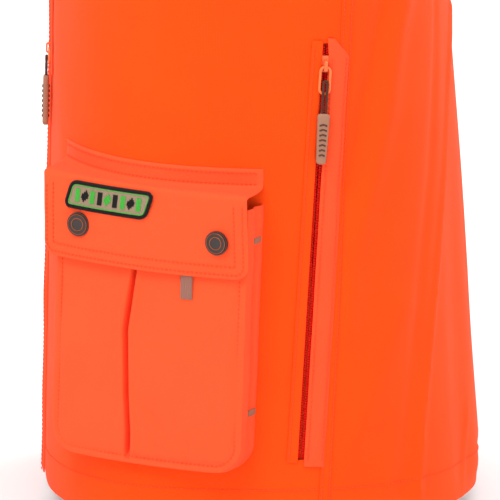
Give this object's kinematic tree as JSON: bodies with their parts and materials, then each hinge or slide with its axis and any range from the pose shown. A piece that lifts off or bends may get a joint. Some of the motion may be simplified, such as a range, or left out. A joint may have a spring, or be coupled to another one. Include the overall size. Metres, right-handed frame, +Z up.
{
  "type": "field vest",
  "caption": "Zip-front field vest with stand collar, bellows cargo pockets under snap flaps, long side pocket zips and a chest pocket.",
  "frame": {"origin": "middle of the hanger loop inside the back of the collar", "axes": "+Z up as worn, -Y towards the front, +X towards the wearer's left"},
  "size_m": [0.4154, 0.2948, 0.6762],
  "materials": {
    "shell_fabric": "matt woven polyester, fluorescent orange",
    "coral_trim": "smooth laminated polyester, coral orange",
    "facing_fabric": "plain weave",
    "mesh": "knitted mesh",
    "binding": "folded bias binding",
    "zip_tape": "woven tape",
    "zip_coil": "nylon coil",
    "slider_enamel": "baked enamel",
    "loop_wire": "baked enamel",
    "pull_cord": "braided cord",
    "pull_rubber": "moulded, matt",
    "webbing": "narrow woven webbing",
    "snap_metal": "black oxide with worn copper edges",
    "thread": "bartack thread",
    "badge": "woven badge with a merrowed border"
  },
  "bodies": {
    "shell": {"left_front_panel": "shell_fabric", "right_front_panel": "shell_fabric", "back_panel": "shell_fabric", "mesh_lining": "mesh", "hem_facing": "facing_fabric", "left_armhole_binding": "binding", "right_armhole_binding": "binding", "left_placket": "coral_trim", "right_placket": "coral_trim", "collar": "shell_fabric", "collar_facing": "facing_fabric", "main_zip_tapes": "zip_tape", "main_zip_chain": "zip_coil", "chest_zip_tapes": "zip_tape", "chest_zip_chain": "zip_coil", "chest_zip_guard": "coral_trim", "chest_pocket_bag": "mesh", "hanger_loop": "webbing", "left_side_zip_tapes": "zip_tape", "left_side_zip_chain": "zip_coil", "left_side_zip_guard": "coral_trim", "left_side_pocket_bag": "mesh", "left_cargo_bag": "shell_fabric", "left_cargo_flap_band": "coral_trim", "left_snap_studs": "snap_metal", "left_side_entry_bartacks": "thread", "right_side_zip_tapes": "zip_tape", "right_side_zip_chain": "zip_coil", "right_side_zip_guard": "coral_trim", "right_side_pocket_bag": "mesh", "right_cargo_bag": "shell_fabric", "right_cargo_flap_band": "coral_trim", "right_snap_studs": "snap_metal", "right_side_entry_bartacks": "thread"},
    "main_slider": {"main_zip_slider": "slider_enamel"},
    "main_pull": {"main_pull_loop": "loop_wire", "main_pull_cord": "pull_cord", "main_pull_tab": "pull_rubber"},
    "left_side_slider": {"left_side_zip_slider": "slider_enamel"},
    "left_side_pull": {"left_side_pull_loop": "loop_wire", "left_side_pull_cord": "pull_cord", "left_side_pull_tab": "pull_rubber"},
    "right_side_slider": {"right_side_zip_slider": "slider_enamel"},
    "right_side_pull": {"right_side_pull_loop": "loop_wire", "right_side_pull_cord": "pull_cord", "right_side_pull_tab": "pull_rubber"},
    "chest_slider": {"chest_zip_slider": "slider_enamel"},
    "chest_pull": {"chest_pull_loop": "loop_wire", "chest_pull_cord": "pull_cord", "chest_pull_tab": "pull_rubber"},
    "left_flap": {"left_cargo_flap": "coral_trim", "left_snap_caps": "snap_metal", "left_snap_sockets": "snap_metal", "left_flap_grab_tab": "webbing", "flap_badge": "badge"},
    "right_flap": {"right_cargo_flap": "coral_trim", "right_snap_caps": "snap_metal", "right_snap_sockets": "snap_metal", "right_flap_grab_tab": "webbing"}
  },
  "joints": [
    {"name": "main_slide", "type": "slide", "parent": "shell", "child": "main_slider", "axis": [0, -0.0211, -0.9998], "range_m": [0, 0.5691]},
    {"name": "main_pull_swing", "type": "hinge", "parent": "main_slider", "child": "main_pull", "pos_m": [0, -0.19195, -0.05714], "axis": [-1, 0, 0], "range_deg": [0, 160]},
    {"name": "left_side_slide", "type": "slide", "parent": "shell", "child": "left_side_slider", "axis": [0.0121, -0.0586, -0.9982], "range_m": [0, 0.2565]},
    {"name": "left_side_pull_swing", "type": "hinge", "parent": "left_side_slider", "child": "left_side_pull", "pos_m": [0.17846, -0.01284, -0.33416], "axis": [0.0993, -0.9933, 0.0595], "range_deg": [0, 160]},
    {"name": "right_side_slide", "type": "slide", "parent": "shell", "child": "right_side_slider", "axis": [-0.0121, -0.0586, -0.9982], "range_m": [0, 0.2565]},
    {"name": "right_side_pull_swing", "type": "hinge", "parent": "right_side_slider", "child": "right_side_pull", "pos_m": [-0.17846, -0.01284, -0.33416], "axis": [0.0993, 0.9933, -0.0595], "range_deg": [0, 160]},
    {"name": "chest_slide", "type": "slide", "parent": "shell", "child": "chest_slider", "axis": [0, 0.0209, 0.9998], "range_m": [0, 0.149]},
    {"name": "chest_pull_swing", "type": "hinge", "parent": "chest_slider", "child": "chest_pull", "pos_m": [0.03805, -0.19733, -0.34915], "axis": [-0.9998, -0.02, 0.0004], "range_deg": [0, 160]},
    {"name": "left_flap_hinge", "type": "hinge", "parent": "shell", "child": "left_flap", "pos_m": [0.17617, -0.12958, -0.41176], "axis": [-0.4381, -0.8982, 0.0349], "range_deg": [0, 150]},
    {"name": "right_flap_hinge", "type": "hinge", "parent": "shell", "child": "right_flap", "pos_m": [-0.17617, -0.12958, -0.41176], "axis": [-0.4381, 0.8982, -0.0349], "range_deg": [0, 150]}
  ]
}
